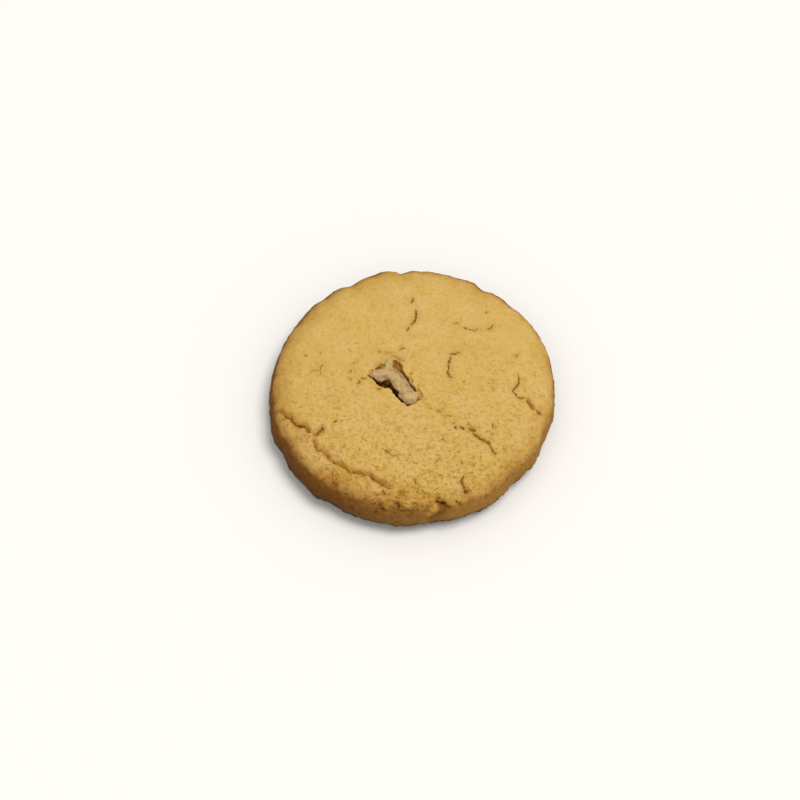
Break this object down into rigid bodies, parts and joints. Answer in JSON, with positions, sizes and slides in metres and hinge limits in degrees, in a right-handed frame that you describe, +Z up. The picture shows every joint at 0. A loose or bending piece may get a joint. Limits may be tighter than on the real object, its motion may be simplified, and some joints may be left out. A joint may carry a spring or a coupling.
{
  "type": "walnut cookie",
  "caption": "Thick round baked cookie with a domed, cracked top, browned rounded sides, a flat underside and a walnut piece set into a pit near the middle.",
  "frame": {"origin": "middle of the flat underside, on the surface that the cookie rests on", "axes": "+Z up through the thickness, +Y away from the front of the cookie, +X to its right"},
  "size_m": [0.0655, 0.0666, 0.0117],
  "materials": {
    "baked_crust": "matte",
    "walnut_kernel": "matte"
  },
  "bodies": {
    "root": {"cookie": "baked_crust", "walnut": "walnut_kernel"}
  },
  "joints": []
}
